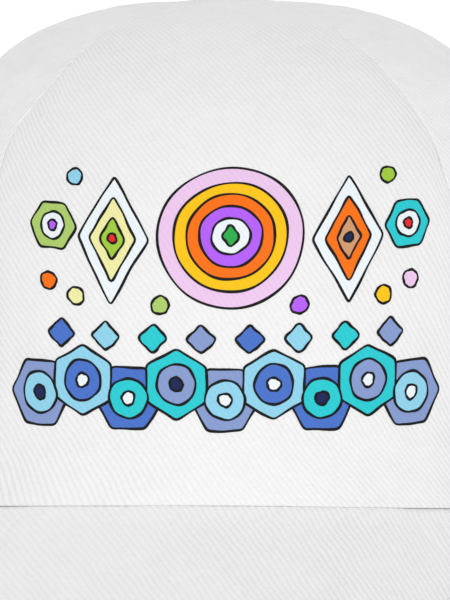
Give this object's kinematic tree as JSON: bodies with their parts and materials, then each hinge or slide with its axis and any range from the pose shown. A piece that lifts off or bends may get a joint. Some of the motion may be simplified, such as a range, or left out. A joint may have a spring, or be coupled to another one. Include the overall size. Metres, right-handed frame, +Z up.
{
  "type": "baseball cap",
  "caption": "White cotton cap with a wide front panel, a curved stitched peak, a covered button and a strap with a hinged metal clasp at the back.",
  "frame": {"origin": "middle of the foot of the cap's box, on the surface that the cap stands on", "axes": "+Z up, +Y towards the back of the head, +X to the right as seen from the front; the crown is tipped back by 14.65 degrees, as the cap rests on its peak's sides and the back of its crown"},
  "size_m": [0.182, 0.2698, 0.1433],
  "materials": {
    "crown_cloth": "white cotton twill, matt",
    "peak_cloth": "white cotton twill, matt, stitched in rows",
    "button_cloth": "white cotton twill, stretched over a button",
    "eyelet_thread": "white embroidery thread, slightly glossy",
    "stiffener_cloth": "white stiffened open weave",
    "tape_cloth": "white woven seam tape",
    "sweatband_cloth": "white cotton, matt",
    "strap_cloth": "white cotton twill, folded and stitched",
    "clasp_metal": "brushed, satin",
    "washer_metal": "satin"
  },
  "bodies": {
    "cap": {"front_panel": "crown_cloth", "side_panel_left": "crown_cloth", "side_panel_right": "crown_cloth", "back_panel_left": "crown_cloth", "back_panel_right": "crown_cloth", "front_stiffener": "stiffener_cloth", "tape_front_left": "tape_cloth", "tape_front_right": "tape_cloth", "tape_side_left": "tape_cloth", "tape_side_right": "tape_cloth", "tape_back": "tape_cloth", "arch_binding": "tape_cloth", "sweatband": "sweatband_cloth", "top_button": "button_cloth", "button_washer": "washer_metal", "eyelet_side_left": "eyelet_thread", "eyelet_side_right": "eyelet_thread", "eyelet_back_left": "eyelet_thread", "eyelet_back_right": "eyelet_thread", "peak_upper": "peak_cloth", "peak_lower": "peak_cloth", "strap_long": "strap_cloth", "strap_short": "strap_cloth", "clasp_frame": "clasp_metal", "clasp_pin": "clasp_metal"},
    "lever": {"clasp_lever": "clasp_metal"}
  },
  "joints": [
    {"name": "clasp_lever", "type": "hinge", "parent": "cap", "child": "lever", "pos_m": [0.0028, 0.12905, 0.01406], "axis": [0, -0.253, -0.9675], "range_deg": [0, 90]}
  ]
}
